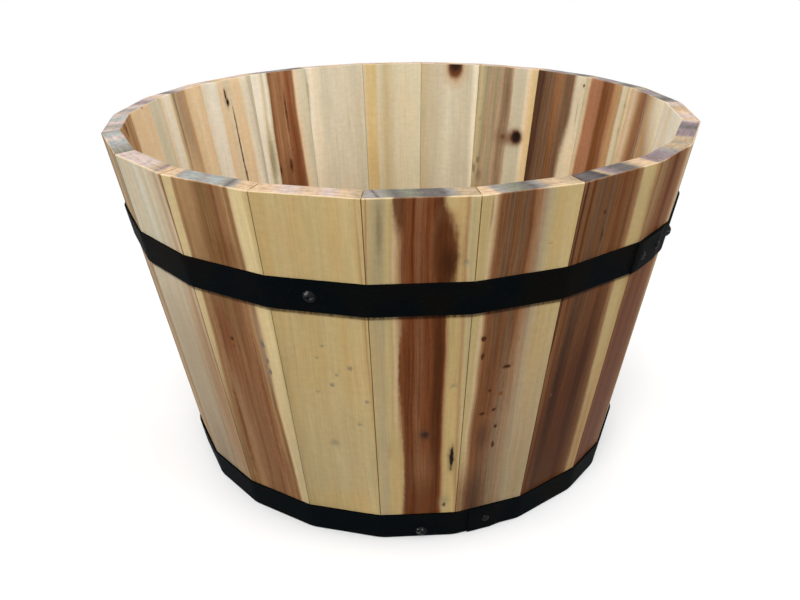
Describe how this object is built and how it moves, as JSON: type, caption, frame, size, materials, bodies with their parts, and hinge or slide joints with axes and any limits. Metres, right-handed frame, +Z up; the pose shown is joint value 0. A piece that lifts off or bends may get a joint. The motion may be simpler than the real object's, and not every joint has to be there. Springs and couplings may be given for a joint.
{
  "type": "barrel planter",
  "caption": "Round wooden barrel planter: tapered staves held by two black steel hoops, open at the top, with a boarded floor that has drain holes.",
  "frame": {"origin": "centre of the circle of stave ends that it stands on, at ground level", "axes": "+Z up along the barrel's axis; the front joint between stave_22 and stave_01 is towards -Y; +X is to the right seen from the front"},
  "size_m": [0.5028, 0.508, 0.3108],
  "materials": {
    "stave_wood": "oiled, fine sanded",
    "floor_wood": "planed, unfinished",
    "hoop_paint": "satin black",
    "screw_steel": "black, worn"
  },
  "bodies": {
    "root": {"stave_01": "stave_wood", "stave_02": "stave_wood", "stave_03": "stave_wood", "stave_04": "stave_wood", "stave_05": "stave_wood", "stave_06": "stave_wood", "stave_07": "stave_wood", "stave_08": "stave_wood", "stave_09": "stave_wood", "stave_10": "stave_wood", "stave_11": "stave_wood", "stave_12": "stave_wood", "stave_13": "stave_wood", "stave_14": "stave_wood", "stave_15": "stave_wood", "stave_16": "stave_wood", "stave_17": "stave_wood", "stave_18": "stave_wood", "stave_19": "stave_wood", "stave_20": "stave_wood", "stave_21": "stave_wood", "stave_22": "stave_wood", "floor_board_1": "floor_wood", "floor_board_2": "floor_wood", "floor_board_3": "floor_wood", "floor_board_4": "floor_wood", "floor_board_5": "floor_wood", "batten_left": "floor_wood", "batten_right": "floor_wood", "batten_screws": "screw_steel", "upper_hoop": "hoop_paint", "lower_hoop": "hoop_paint", "hoop_rivets": "hoop_paint", "hoop_screws": "screw_steel"}
  },
  "joints": []
}
